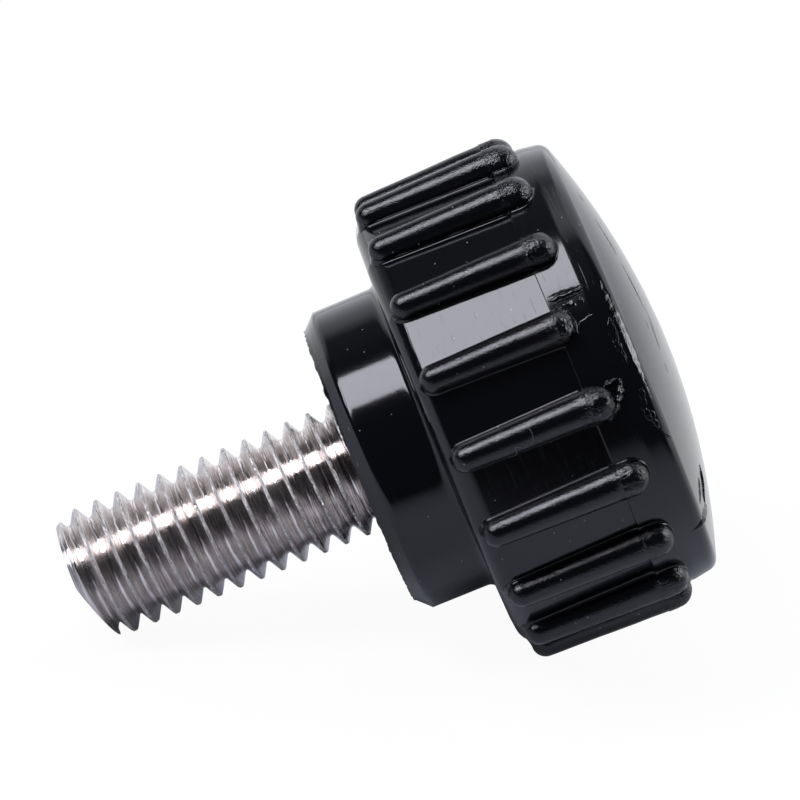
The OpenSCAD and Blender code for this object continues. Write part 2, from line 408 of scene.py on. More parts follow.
foot_parts = [foot_surface(k) for k in range(RIB_COUNT)]
foot_quads = ring_faces(*foot_reach.shape)
foot_quads = np.vstack([foot_quads + k * foot_reach.size for k in range(RIB_COUNT)])
foot_points = np.concatenate([p[0].reshape(-1, 3) for p in foot_parts])
foot_lay = np.concatenate([p[1].reshape(-1, 3) for p in foot_parts])
feet = smooth_mesh("rib_fillets", foot_points, foot_quads, foot_lay, {"frost": np.zeros(len(foot_points))})

# %% [markdown]
# ## Scars on the crown
#
# The photographed screw has been knocked about: the mould dragged two ridges along the crown, a heel
# tore off as a flake, the rim is scuffed and the dome is scratched. Each scar is a low ridge laid along
# a path on the crown. The path is given by its distance past the parting line, measured along the
# profile, and its turn in degrees. The ridge's edges dip just under the skin, so no gap shows.

# %% The crown's skin
first_crown = int(np.argmax(profile[:, 0] >= PARTING + 0.01))
crown_line = profile[first_crown:, :2]
crown_way = np.concatenate([[0], np.cumsum(np.hypot(*np.diff(crown_line, axis=0).T))]) + 0.012
crown_slope = np.gradient(crown_line, axis=0)
crown_normal = np.stack([-crown_slope[:, 1], crown_slope[:, 0]], -1) / np.hypot(*crown_slope.T)[:, None]


def on_crown(way, turn, lift):
    """The profile's height and radius at a distance past the parting line, moved out by lift along its normal."""
    height, radius = (np.interp(way, crown_way, crown_line[:, n]) for n in (0, 1))
    normal = [np.interp(way, crown_way, crown_normal[:, n]) for n in (0, 1)]
    height, radius = height + lift * normal[0], radius + lift * normal[1]
    return around(height, radius, turn), np.stack([height, turn * radius, radius], -1)


# %% A ridge along a path


def ridge(path, half_width, lift, seed, ragged=0.3, flat=0.0, steps=120, columns=11):
    """Points across a path: a share of the half width to each side, lifted by a hump, or by flat times its square."""
    path = np.array(path, dtype=float)
    metric = np.column_stack([path[:, 0], np.radians(path[:, 1]) * 9.5])
    way = np.concatenate([[0], np.cumsum(np.hypot(*np.diff(metric, axis=0).T))])
    along = np.linspace(0, way[-1], steps)
    middle = np.column_stack([np.interp(along, way, metric[:, n]) for n in (0, 1)])
    middle = middle + 0.02 * np.column_stack([waves(middle, 0.5, seed + n) for n in (0, 1)])
    slope = np.gradient(middle, axis=0)
    aside = np.stack([-slope[:, 1], slope[:, 0]], -1) / np.hypot(*slope.T)[:, None]
    share = np.linspace(-1, 1, columns)
    ends = np.sin(np.pi * np.clip(along / way[-1], 0.0, 1)) ** 0.5
    wide = half_width * ends * (1 + ragged * waves(middle, 0.35, seed + 2))
    spot = middle[:, None, :] + (wide[:, None] * share[None, :])[..., None] * aside[:, None, :]
    hump = (1 - np.abs(share)[None, :] ** 1.5) * (ends * (1 + ragged * waves(middle, 0.25, seed + 3)))[:, None]
    rough = ragged * 0.35 * waves(spot, 0.16, seed + 4) * (1 - share**2)[None, :]
    height = lift * (hump + rough) + flat * share[None, :] ** 2 - 0.002
    height[:, [0, -1]] = -0.03
    radius = np.interp(spot[..., 0], crown_way, crown_line[:, 1])
    points, lay = on_crown(spot[..., 0], spot[..., 1] / 9.5, height)
    return points, lay, grid_faces(steps, columns, False)


SCARS = (
    # Two ridges that the mould dragged across the bright flat, a dark band between, a mottled tongue below
    ([(0.06, -138.1), (1.0, -137.9), (1.70, -137.8)], 0.06, 0.06, 101, 0.3),
    ([(0.12, -135.9), (0.9, -136.0), (1.68, -136.2)], 0.05, 0.08, 111, 0.15),
    ([(0.06, -136.95), (0.9, -136.95), (1.62, -137.0)], 0.14, 0.07, 121, 0.12),
    ([(0.35, -134.6), (1.0, -134.5), (1.5, -134.2)], 0.16, 0.05, 131, 0.7),
    ([(0.82, -128.7), (1.2, -129.3), (1.6, -129.9)], 0.10, 0.016, 141, 0.2),
    ([(0.30, -135.0), (0.66, -131.5), (0.70, -127.0)], 0.14, 0.05, 151, 0.25),
    # The flake at the end of the next heel
    ([(0.55, -105.2), (1.15, -108.9), (1.66, -113.6)], 0.26, 0.36, 161, 0.14),
    ([(0.75, -112.9), (1.1, -113.6), (1.5, -113.9)], 0.12, 0.20, 171, 0.2),
    # Scuffs on the taper, the flattened rim and its burr
    ([(2.17, -128.0), (1.98, -122.0), (2.12, -115.4)], 0.17, 0.02, 181, 0.35),
    ([(2.28, -127.0), (2.12, -121.0), (2.22, -117.0)], 0.04, 0.02, 191, 0.4),
    ([(2.30, -110.0), (2.10, -104.4), (2.45, -97.2)], 0.20, 0.025, 201, 0.4),
    ([(2.45, -137.5), (2.50, -129.0), (2.55, -120.0), (2.55, -109.0)], 0.21, 0.003, 221, 0.06, 0.034),
    ([(2.52, -96.6), (2.72, -94.9)], 0.09, 0.10, 231, 0.3),
    # Scratches on the dome
    ([(4.88, -169.1), (5.50, -163.5), (6.19, -155.9)], 0.020, 0.014, 241, 0.2),
    ([(6.24, -155.0), (6.80, -143.5), (7.10, -132.6)], 0.026, 0.018, 251, 0.2),
    ([(7.08, -129.5), (6.95, -121.0), (6.73, -114.3)], 0.022, 0.016, 261, 0.2),
    ([(7.30, -136.0), (7.42, -129.0), (7.25, -121.0)], 0.014, 0.010, 271, 0.2),
    ([(6.20, -127.5), (6.15, -123.5)], 0.016, 0.012, 281, 0.2),
    ([(4.00, -174.8), (4.45, -173.9)], 0.016, 0.012, 291, 0.2),
    ([(6.6, -109.5), (6.4, -105.5)], 0.016, 0.012, 301, 0.2),
    # The gash that runs over the rim, and the flake left hanging at its end
    ([(5.60, -67.0), (4.88, -63.9), (4.20, -64.0), (3.95, -62.6)], 0.05, 0.07, 311, 0.1),
    ([(4.55, -70.4), (3.90, -69.6), (3.20, -69.4)], 0.06, 0.05, 321, 0.1),
    ([(2.10, -65.7), (2.75, -66.0), (3.35, -63.9), (4.10, -61.0)], 0.26, 0.11, 331, 0.08),
)
scar_parts = [ridge(*scar) for scar in SCARS]
scar_starts = np.concatenate([[0], np.cumsum([p[0].size // 3 for p in scar_parts])])
scar_quads = np.vstack([p[2] + start for p, start in zip(scar_parts, scar_starts)])
scar_points = np.concatenate([p[0].reshape(-1, 3) for p in scar_parts])
scar_lay = np.concatenate([p[1].reshape(-1, 3) for p in scar_parts])
scars = smooth_mesh("crown_scars", scar_points, scar_quads, scar_lay, {"frost": np.zeros(len(scar_points))})

# %% [markdown]
# ## A fibre on a rib
#
# A curled fibre sticks to one of the ribs. It is a thin tube along a path in the rib's own height and
# turn: circles of a few points, carried along the path.

# %% The fibre
FIBRE_RIB = 12
fibre_u = np.linspace(0, 1, 40)
fibre_h = 6.15 + 1.15 * fibre_u + 0.12 * np.sin(9 * fibre_u) + 0.18 * np.sin(16 * fibre_u) * fibre_u**3
fibre_t = np.radians(62 - 52 * fibre_u + 14 * np.sin(11 * fibre_u) + 22 * np.cos(16 * fibre_u) * fibre_u**4)
fibre_bar = RIB_LOW_R + (RIB_HIGH_R - RIB_LOW_R) * (fibre_h - RIB_LOW_H) / (PARTING - RIB_LOW_H) + 0.012
fibre_ring = np.linspace(0, 2 * np.pi, 6, endpoint=False)
ring_h, ring_r = 0.01 * np.cos(fibre_ring)[None, :], 0.01 * np.sin(fibre_ring)[None, :]
fibre_out = RIB_AXIS_R + (fibre_bar[:, None] + ring_r) * np.cos(fibre_t)[:, None]
fibre_aside = (fibre_bar[:, None] + ring_r) * np.sin(fibre_t)[:, None] + ring_h * 0.5
fibre_turn = (FIBRE_RIB + 0.5) * PITCH
fibre_points = place(fibre_h[:, None] + ring_h, fibre_out * math.cos(fibre_turn) - fibre_aside * math.sin(fibre_turn),
                     fibre_out * math.sin(fibre_turn) + fibre_aside * math.cos(fibre_turn))
fibre = smooth_mesh("fibre", fibre_points, grid_faces(40, 6, True)[:, ::-1], np.zeros(fibre_points.shape),
                    {"frost": np.zeros(fibre_points.shape[:2])})

# %% [markdown]
# ## The stud's thread
#
# A rolled thread is one long strip wound down a helix. One parameter goes across the strip, from one
# crest over the flank and the rounded root to the next crest; the other is the turn. The height is the
# crest's own height plus the place across the strip, and falls by one pitch in each turn. The lead at
# the tip is the same strip held under a cone, and the strip's ends are flattened against the end faces.

# %% Profile across one pitch of thread
THREAD_R, THREAD_PITCH = 2.975, 1.0
ROOT_ROUND = 0.1443
STUD_LEN, LEAD_LEN, LEAD_DEPTH = 13.3, 0.8, 0.42
CREST_AT = 0.25
TURN_STEPS = 96
CROP_SLOPE, CROP_START = 0.3, 0.3


def thread_profile():
    """Rows of place across the pitch and depth: flat crest, flank at 30 degrees, round root, and back."""
    crest = np.array([[0.0, 0.0], [0.03, 0.0], [0.055, 0.001], [0.066, 0.012]])
    flank = line([0.075, 0.0217], [0.375, 0.5413], 7)
    angle = np.radians(np.linspace(60, 0, 6))
    root = np.stack([0.5 - ROOT_ROUND * np.sin(angle), 0.4691 + ROOT_ROUND * np.cos(angle)], -1)
    half = np.vstack([crest, flank, root])
    other = half[::-1][1:-1] * [-1, 1] + [1.0, 0]
    return np.vstack([half, other])


across_pitch = thread_profile()
winds = int(STUD_LEN / THREAD_PITCH) + 3
strip_turn = np.arange(winds * TURN_STEPS + 1) * 2 * np.pi / TURN_STEPS
rows_across = np.vstack([across_pitch, [[1.0, 0.0]]])
strip_h = 2 * THREAD_PITCH + CREST_AT - THREAD_PITCH * (strip_turn[None, :] / (2 * np.pi)) - rows_across[:, 0:1]
strip_r = np.repeat(THREAD_R - rows_across[:, 1:2], len(strip_turn), axis=1)
wobble_at = np.stack([np.cos(strip_turn) * 3, np.sin(strip_turn) * 3, strip_turn / 2], -1)
crest_share = 1 - blend(0.0, 0.12, rows_across[:, 1:2])
strip_r = strip_r - crest_share * np.clip(waves(wobble_at, 0.35, 11) - 0.1, 0, 2)[None, :] * 0.035
lead = THREAD_R - LEAD_DEPTH * (1 - (strip_h + STUD_LEN) / LEAD_LEN)
strip_r = np.minimum(strip_r, np.clip(lead, THREAD_R - LEAD_DEPTH, THREAD_R))


def cropped_tip(radius, turn):
    """The tip's face lies flat, but slopes back on one side, where the bar was cropped before rolling."""
    return CROP_SLOPE * np.maximum(radius * np.cos(turn + CAMERA_LIFT) - CROP_START, 0) - STUD_LEN


strip_h = np.clip(strip_h, cropped_tip(strip_r, -strip_turn[None, :]), 0.25)
print("thread rows", len(rows_across), "steps", len(strip_turn))

# %% Close the stud
strip_points = around(strip_h, strip_r, np.repeat(-strip_turn[None, :], len(rows_across), axis=0))
strip_lay = np.stack([strip_h, strip_r * -strip_turn[None, :], strip_r], -1)
strip_quads = grid_faces(len(rows_across), len(strip_turn), False)
last_row = (len(rows_across) - 1) * len(strip_turn)
next_turn = strip_quads - last_row + TURN_STEPS
welded = np.where(strip_quads >= last_row, next_turn, strip_quads)
strip_quads = welded[(next_turn < len(strip_turn)).all(axis=1)]
strip_points, strip_lay = strip_points[:-1], strip_lay[:-1]
cap_turns = np.linspace(0, 2 * np.pi, 96, endpoint=False)
cap_radii = np.array([0.0, 1.0, 2.0, 2.45, THREAD_R - LEAD_DEPTH])
cap_r, cap_t = np.meshgrid(cap_radii, cap_turns, indexing="ij")
cap_points = around(cropped_tip(cap_r, cap_t), cap_r, cap_t)
cap_lay = np.stack([np.full(cap_r.shape, -STUD_LEN), cap_r * cap_t, cap_r], -1)
cap_quads = grid_faces(len(cap_radii), len(cap_turns), True) + strip_points.reshape(-1, 3).shape[0]
stud_points = np.vstack([strip_points.reshape(-1, 3), cap_points.reshape(-1, 3)])
stud_lay = np.vstack([strip_lay.reshape(-1, 3), cap_lay.reshape(-1, 3)])
stud_quads = np.vstack([strip_quads, cap_quads])
corners = stud_points[stud_quads] * 1000
areas = np.linalg.norm(np.cross(corners[:, 2] - corners[:, 0], corners[:, 3] - corners[:, 1]), axis=1)
stud = smooth_mesh("stud_thread", stud_points, stud_quads[areas > 1e-7], stud_lay, {})

# %% [markdown]
# ## Helpers for materials
#
# A material is a small graph of nodes. These two helpers keep the graphs short: one makes a node and
# sets its plain values, the other joins two sockets.

# %% Node helpers


def add_node(tree, kind, **values):
    """A new node of a kind, with properties or inputs set by name."""
    node = tree.nodes.new(kind)
    for key, value in values.items():
        if key in node.inputs:
            node.inputs[key].default_value = value
        else:
            setattr(node, key, value)
    return node


def join(tree, source, target):
    """A link from one socket to another."""
    tree.links.new(source, target)


def new_group(name, inputs, outputs):
    """A shader node group with named sockets, each given as name: (kind, default)."""
    group = bpy.data.node_groups.new(name, "ShaderNodeTree")
    for socket_name, (kind, default) in inputs.items():
        socket = group.interface.new_socket(socket_name, in_out="INPUT", socket_type=kind)
        if default is not None:
            socket.default_value = default
    for socket_name, kind in outputs.items():
        group.interface.new_socket(socket_name, in_out="OUTPUT", socket_type=kind)
    return group, group.nodes.new("NodeGroupInput"), group.nodes.new("NodeGroupOutput")


# %% [markdown]
# ## Gloss black with a trace of use
#
# The knob shines like new plastic but not like glass: the mould left fine streaks round the body, the
# ribs came out a little wavy, the heels are frosted, and dust sits everywhere. One node group makes the
# relief and the roughness from the lay, and the material turns it into a glossy surface.

# %% Relief of moulded plastic
plastic_group, group_in, group_out = new_group(
    "moulded_surface",
    {"Lay": ("NodeSocketVector", None), "Frost": ("NodeSocketFloat", 0.0), "Streaks": ("NodeSocketFloat", 0.5),
     "Waves": ("NodeSocketFloat", 0.5), "Grain": ("NodeSocketFloat", 0.0), "Smooth": ("NodeSocketFloat", 0.1),
     "Crown": ("NodeSocketFloat", 0.0)},
    {"Height": "NodeSocketFloat", "Roughness": "NodeSocketFloat", "Dust": "NodeSocketFloat"})
streak_map = add_node(plastic_group, "ShaderNodeMapping", Scale=(9.0, 0.7, 1.0))
streaks = add_node(plastic_group, "ShaderNodeTexNoise", Scale=1.0, Detail=3.0)
wave_noise = add_node(plastic_group, "ShaderNodeTexNoise", Scale=2.2, Detail=2.0)
frost_noise = add_node(plastic_group, "ShaderNodeTexNoise", Scale=9.0, Detail=1.5, Roughness=0.6)
fine_map = add_node(plastic_group, "ShaderNodeMapping", Scale=(13.0, 0.55, 1.0))
fine_lines = add_node(plastic_group, "ShaderNodeTexNoise", Scale=1.0, Detail=2.0)
line_mask = add_node(plastic_group, "ShaderNodeMapRange")
line_mask.inputs["From Min"].default_value = 0.62
line_mask.inputs["From Max"].default_value = 0.72
line_mask.inputs["To Max"].default_value = -1.0
join(plastic_group, group_in.outputs["Lay"], fine_map.inputs["Vector"])
join(plastic_group, fine_map.outputs["Vector"], fine_lines.inputs["Vector"])
join(plastic_group, fine_lines.outputs["Fac"], line_mask.inputs["Value"])
grain_noise = add_node(plastic_group, "ShaderNodeTexNoise", Scale=16.0, Detail=2.0)
dust_noise = add_node(plastic_group, "ShaderNodeTexVoronoi", Scale=1.7, Randomness=1.0)
join(plastic_group, group_in.outputs["Lay"], streak_map.inputs["Vector"])
join(plastic_group, streak_map.outputs["Vector"], streaks.inputs["Vector"])
for texture in (wave_noise, frost_noise, grain_noise, dust_noise):
    join(plastic_group, group_in.outputs["Lay"], texture.inputs["Vector"])
crumpled = add_node(plastic_group, "ShaderNodeMath", operation="MULTIPLY")
crumpled.inputs[1].default_value = 3.0
join(plastic_group, frost_noise.outputs["Fac"], crumpled.inputs[0])
height = None
for source, share in ((streaks.outputs["Fac"], "Streaks"), (line_mask.outputs["Result"], "Streaks"),
                      (wave_noise.outputs["Fac"], "Waves"),
                      (grain_noise.outputs["Fac"], "Grain"), (crumpled.outputs[0], "Frost")):
    times = add_node(plastic_group, "ShaderNodeMath", operation="MULTIPLY_ADD")
    times.inputs[2].default_value = 0.0
    join(plastic_group, source, times.inputs[0])
    join(plastic_group, group_in.outputs[share], times.inputs[1])
    if height is not None:
        join(plastic_group, height, times.inputs[2])
    height = times.outputs[0]
join(plastic_group, height, group_out.inputs["Height"])
rougher = add_node(plastic_group, "ShaderNodeMath", operation="MULTIPLY_ADD")
rougher.inputs[1].default_value = 0.02
join(plastic_group, group_in.outputs["Frost"], rougher.inputs[0])
join(plastic_group, group_in.outputs["Smooth"], rougher.inputs[2])
lay_parts = add_node(plastic_group, "ShaderNodeSeparateXYZ")
past_parting = add_node(plastic_group, "ShaderNodeMapRange")
past_parting.inputs["From Min"].default_value = PARTING - 0.01
past_parting.inputs["From Max"].default_value = PARTING + 0.01
crown_rough = add_node(plastic_group, "ShaderNodeMath", operation="MULTIPLY_ADD")
join(plastic_group, group_in.outputs["Lay"], lay_parts.inputs[0])
join(plastic_group, lay_parts.outputs["X"], past_parting.inputs["Value"])
join(plastic_group, past_parting.outputs["Result"], crown_rough.inputs[0])
join(plastic_group, group_in.outputs["Crown"], crown_rough.inputs[1])
join(plastic_group, rougher.outputs[0], crown_rough.inputs[2])
join(plastic_group, crown_rough.outputs[0], group_out.inputs["Roughness"])
speck = add_node(plastic_group, "ShaderNodeMapRange")
speck.inputs["From Min"].default_value = 0.06
speck.inputs["From Max"].default_value = 0.04
join(plastic_group, dust_noise.outputs["Distance"], speck.inputs["Value"])
join(plastic_group, speck.outputs["Result"], group_out.inputs["Dust"])
print("group", plastic_group.name, len(plastic_group.nodes), "nodes")

# %% Black plastic


def black_plastic(name, streaks_share, waves_share, grain_share, smooth, bump_strength, crown=0.0):
    """Gloss black: a dark base, roughness and relief from the group, and pale specks of dust."""
    material = bpy.data.materials.new(name)
    material.use_nodes = True
    tree = material.node_tree
    shader = tree.nodes["Principled BSDF"]
    shader.inputs["IOR"].default_value = 1.5
    lay = add_node(tree, "ShaderNodeAttribute", attribute_name="lay")
    frost = add_node(tree, "ShaderNodeAttribute", attribute_name="frost")
    surface = add_node(tree, "ShaderNodeGroup", node_tree=plastic_group)
    surface.inputs["Streaks"].default_value = streaks_share
    surface.inputs["Waves"].default_value = waves_share
    surface.inputs["Grain"].default_value = grain_share
    surface.inputs["Smooth"].default_value = smooth
    surface.inputs["Crown"].default_value = crown
    join(tree, lay.outputs["Vector"], surface.inputs["Lay"])
    join(tree, frost.outputs["Fac"], surface.inputs["Frost"])
    colour = add_node(tree, "ShaderNodeMix", data_type="RGBA")
    colour.inputs["A"].default_value = (0.0016, 0.0019, 0.0027, 1)
    colour.inputs["B"].default_value = (0.2, 0.2, 0.21, 1)
    join(tree, surface.outputs["Dust"], colour.inputs["Factor"])
    bump = add_node(tree, "ShaderNodeBump", Strength=bump_strength, Distance=0.00002)
    join(tree, surface.outputs["Height"], bump.inputs["Height"])
    join(tree, colour.outputs["Result"], shader.inputs["Base Color"])
    join(tree, surface.outputs["Roughness"], shader.inputs["Roughness"])
    join(tree, bump.outputs["Normal"], shader.inputs["Normal"])
    return material


body.data.materials.append(black_plastic("black_body", 0.24, 0.2, 0.12, 0.1, 0.35, 0.035))
ribs.data.materials.append(black_plastic("black_ribs", 0.1, 1.4, 1.3, 0.13, 0.6))
feet.data.materials.append(black_plastic("black_fillets", 0.1, 0.8, 0.8, 0.12, 0.4))
scars.data.materials.append(black_plastic("black_scars", 0.8, 0.5, 0.5, 0.12, 0.5))
lint = bpy.data.materials.new("pale_lint")
lint.use_nodes = True
lint_shader = lint.node_tree.nodes["Principled BSDF"]
lint_grain = add_node(lint.node_tree, "ShaderNodeTexNoise", Scale=900.0)
lint_colour = add_node(lint.node_tree, "ShaderNodeMix", data_type="RGBA")
lint_colour.inputs["A"].default_value = (0.05, 0.05, 0.055, 1)
lint_colour.inputs["B"].default_value = (0.14, 0.14, 0.15, 1)
lint_place = add_node(lint.node_tree, "ShaderNodeTexCoord")
join(lint.node_tree, lint_place.outputs["Object"], lint_grain.inputs["Vector"])
join(lint.node_tree, lint_grain.outputs["Fac"], lint_colour.inputs["Factor"])
join(lint.node_tree, lint_colour.outputs["Result"], lint_shader.inputs["Base Color"])
lint_shader.inputs["Roughness"].default_value = 0.7
fibre.data.materials.append(lint)
print("materials", [m.name for m in bpy.data.materials])

# %% [markdown]
# ## Plated steel
#
# The stud is bright plating over rolled steel: warm grey, clean on the flanks and rough on the crests,
# where the rolling left a torn seam and the plating sparkles.

# %% Steel for the stud
steel = bpy.data.materials.new("plated_steel")
steel.use_nodes = True
steel_tree = steel.node_tree
steel_shader = steel_tree.nodes["Principled BSDF"]
steel_shader.inputs["Metallic"].default_value = 1.0
steel_lay = add_node(steel_tree, "ShaderNodeAttribute", attribute_name="lay")
radius_part = add_node(steel_tree, "ShaderNodeSeparateXYZ")
join(steel_tree, steel_lay.outputs["Vector"], radius_part.inputs[0])
crest_mask = add_node(steel_tree, "ShaderNodeMapRange")
crest_mask.inputs["From Min"].default_value = THREAD_R - 0.05
crest_mask.inputs["From Max"].default_value = THREAD_R - 0.012
join(steel_tree, radius_part.outputs["Z"], crest_mask.inputs["Value"])
grain = add_node(steel_tree, "ShaderNodeTexNoise", Scale=12.0, Detail=3.0)
join(steel_tree, steel_lay.outputs["Vector"], grain.inputs["Vector"])
steel_rough = add_node(steel_tree, "ShaderNodeMapRange")
steel_rough.inputs["From Min"].default_value = 0.35
steel_rough.inputs["From Max"].default_value = 0.65
steel_rough.inputs["To Min"].default_value = 0.05
steel_rough.inputs["To Max"].default_value = 0.2
roll_map = add_node(steel_tree, "ShaderNodeMapping", Scale=(15.0, 0.9, 6.0))
roll_lines = add_node(steel_tree, "ShaderNodeTexNoise", Scale=1.0, Detail=3.0)
join(steel_tree, steel_lay.outputs["Vector"], roll_map.inputs["Vector"])
join(steel_tree, roll_map.outputs["Vector"], roll_lines.inputs["Vector"])
join(steel_tree, roll_lines.outputs["Fac"], steel_rough.inputs["Value"])
crest_grain = add_node(steel_tree, "ShaderNodeMath", operation="MULTIPLY")
join(steel_tree, grain.outputs["Fac"], crest_grain.inputs[0])
join(steel_tree, crest_mask.outputs["Result"], crest_grain.inputs[1])
steel_height = add_node(steel_tree, "ShaderNodeMath", operation="MULTIPLY_ADD")
steel_height.inputs[1].default_value = 3.5
join(steel_tree, crest_grain.outputs[0], steel_height.inputs[0])
join(steel_tree, roll_lines.outputs["Fac"], steel_height.inputs[2])
steel_colour = add_node(steel_tree, "ShaderNodeMix", data_type="RGBA")
steel_colour.inputs["A"].default_value = (0.30, 0.25, 0.235, 1)
steel_colour.inputs["B"].default_value = (0.92, 0.87, 0.84, 1)
roll_shade = add_node(steel_tree, "ShaderNodeMapRange")
roll_shade.inputs["From Min"].default_value = 0.36
roll_shade.inputs["From Max"].default_value = 0.6
join(steel_tree, roll_lines.outputs["Fac"], roll_shade.inputs["Value"])
join(steel_tree, roll_shade.outputs["Result"], steel_colour.inputs["Factor"])
steel_bump = add_node(steel_tree, "ShaderNodeBump", Strength=0.9, Distance=0.00002)
join(steel_tree, steel_height.outputs[0], steel_bump.inputs["Height"])
crest_rough = add_node(steel_tree, "ShaderNodeMath", operation="MULTIPLY_ADD")
crest_rough.inputs[1].default_value = 0.3
join(steel_tree, crest_mask.outputs["Result"], crest_rough.inputs[0])
join(steel_tree, steel_rough.outputs["Result"], crest_rough.inputs[2])
crest_colour = add_node(steel_tree, "ShaderNodeMix", data_type="RGBA")
crest_spark = add_node(steel_tree, "ShaderNodeMapRange")
crest_spark.inputs["From Min"].default_value = 0.42
crest_spark.inputs["From Max"].default_value = 0.58
crest_grey = add_node(steel_tree, "ShaderNodeMix", data_type="RGBA")
crest_grey.inputs["A"].default_value = (0.22, 0.20, 0.19, 1)
crest_grey.inputs["B"].default_value = (1.0, 0.97, 0.95, 1)
join(steel_tree, grain.outputs["Fac"], crest_spark.inputs["Value"])
join(steel_tree, crest_spark.outputs["Result"], crest_grey.inputs["Factor"])
join(steel_tree, crest_grey.outputs["Result"], crest_colour.inputs["B"])
join(steel_tree, crest_mask.outputs["Result"], crest_colour.inputs["Factor"])
join(steel_tree, steel_colour.outputs["Result"], crest_colour.inputs["A"])
join(steel_tree, crest_colour.outputs["Result"], steel_shader.inputs["Base Color"])
join(steel_tree, crest_rough.outputs[0], steel_shader.inputs["Roughness"])
join(steel_tree, steel_bump.outputs["Normal"], steel_shader.inputs["Normal"])
stud.data.materials.append(steel)
print("steel", len(steel_tree.nodes), "nodes")

# %% [markdown]
# ## Paper, softbox and room
#
# The reflections in the photograph tell how it was lit. One softbox hangs overhead, seen in the flat
# that faces it and on the neck. A second one stands to the right, and catches the round ends of the
# ribs and the rim. Behind the screw everything is white up to half height, which draws the pale edge
# along its top, and in front the room above the paper is dark.

# %% The paper
paper_mesh = bpy.data.meshes.new("paper")
paper_mesh.from_pydata([(-0.5, -0.125, 0), (0.5, -0.125, 0), (0.5, 0.5, 0), (-0.5, 0.5, 0)], [], [(0, 1, 2, 3)])
paper = bpy.data.objects.new("paper", paper_mesh)
bpy.context.collection.objects.link(paper)
paper_material = bpy.data.materials.new("white_paper")
paper_material.use_nodes = True
paper_tree = paper_material.node_tree
paper_shader = paper_tree.nodes["Principled BSDF"]
paper_shader.inputs["Roughness"].default_value = 0.9
paper_shader.inputs["Specular IOR Level"].default_value = 0.0
paper_path = add_node(paper_tree, "ShaderNodeLightPath")
paper_place = add_node(paper_tree, "ShaderNodeTexCoord")
paper_parts = add_node(paper_tree, "ShaderNodeSeparateXYZ")
join(paper_tree, paper_place.outputs["Object"], paper_parts.inputs[0])
# Painted shade: for all rays but the camera's, the paper takes a dim bluish grey. This is a painted shade copy of the
# white paper that stands in for the weaker light on it in front, and it runs down to near black towards the front
# edge as painted shade for the dark room beyond.
front_shade_ramp = add_node(paper_tree, "ShaderNodeMapRange", interpolation_type="SMOOTHSTEP")
front_shade_ramp.inputs["From Min"].default_value = -0.1
front_shade_ramp.inputs["From Max"].default_value = -0.02
join(paper_tree, paper_parts.outputs["Y"], front_shade_ramp.inputs["Value"])
painted_shade_paper = add_node(paper_tree, "ShaderNodeMix", data_type="RGBA")
painted_shade_paper.inputs["A"].default_value = (0.02, 0.02, 0.022, 1)
painted_shade_paper.inputs["B"].default_value = (0.45, 0.465, 0.51, 1)
join(paper_tree, front_shade_ramp.outputs["Result"], painted_shade_paper.inputs["Factor"])
paper_colour = add_node(paper_tree, "ShaderNodeMix", data_type="RGBA")
paper_colour.inputs["B"].default_value = (0.8, 0.8, 0.8, 1)
join(paper_tree, paper_path.outputs["Is Camera Ray"], paper_colour.inputs["Factor"])
join(paper_tree, painted_shade_paper.outputs["Result"], paper_colour.inputs["A"])
join(paper_tree, paper_colour.outputs["Result"], paper_shader.inputs["Base Color"])
far_paper = add_node(paper_tree, "ShaderNodeMapRange", interpolation_type="SMOOTHSTEP")
far_paper.inputs["From Min"].default_value = 0.006
far_paper.inputs["From Max"].default_value = 0.024
behind = add_node(paper_tree, "ShaderNodeMath", operation="MULTIPLY_ADD")
behind.inputs[1].default_value = 0.5
join(paper_tree, paper_parts.outputs["X"], behind.inputs[0])
join(paper_tree, paper_parts.outputs["Y"], behind.inputs[2])
join(paper_tree, behind.outputs[0], far_paper.inputs["Value"])
mirrored = add_node(paper_tree, "ShaderNodeMath", operation="MULTIPLY")
join(paper_tree, paper_path.outputs["Is Glossy Ray"], mirrored.inputs[0])
join(paper_tree, far_paper.outputs["Result"], mirrored.inputs[1])
seen = add_node(paper_tree, "ShaderNodeMath", operation="MULTIPLY")
seen.inputs[1].default_value = 0.95
join(paper_tree, paper_path.outputs["Is Camera Ray"], seen.inputs[0])
paper_share = add_node(paper_tree, "ShaderNodeMath", operation="ADD")
join(paper_tree, mirrored.outputs[0], paper_share.inputs[0])
join(paper_tree, seen.outputs[0], paper_share.inputs[1])
paper_white = add_node(paper_tree, "ShaderNodeEmission", Strength=1.0)
paper_far = add_node(paper_tree, "ShaderNodeMapRange")
paper_far.inputs["From Min"].default_value = 0.03
paper_far.inputs["From Max"].default_value = 0.14
join(paper_tree, paper_parts.outputs["Y"], paper_far.inputs["Value"])
mirror_white = add_node(paper_tree, "ShaderNodeMix", data_type="RGBA")
mirror_white.inputs["A"].default_value = (0.95, 0.97, 1.0, 1)
mirror_white.inputs["B"].default_value = (0.72, 0.74, 0.80, 1)
join(paper_tree, paper_far.outputs["Result"], mirror_white.inputs["Factor"])
seen_white = add_node(paper_tree, "ShaderNodeMix", data_type="RGBA")
seen_white.inputs["B"].default_value = (1.0, 1.0, 1.0, 1)
join(paper_tree, paper_path.outputs["Is Camera Ray"], seen_white.inputs["Factor"])
join(paper_tree, mirror_white.outputs["Result"], seen_white.inputs["A"])
join(paper_tree, seen_white.outputs["Result"], paper_white.inputs["Color"])
paper_mix = add_node(paper_tree, "ShaderNodeMixShader")
join(paper_tree, paper_share.outputs[0], paper_mix.inputs["Fac"])
join(paper_tree, paper_shader.outputs[0], paper_mix.inputs[1])
join(paper_tree, paper_white.outputs[0], paper_mix.inputs[2])
join(paper_tree, paper_mix.outputs[0], paper_tree.nodes["Material Output"].inputs["Surface"])
paper_mesh.materials.append(paper_material)
print("paper", len(paper_tree.nodes), "nodes")

# %% The softbox


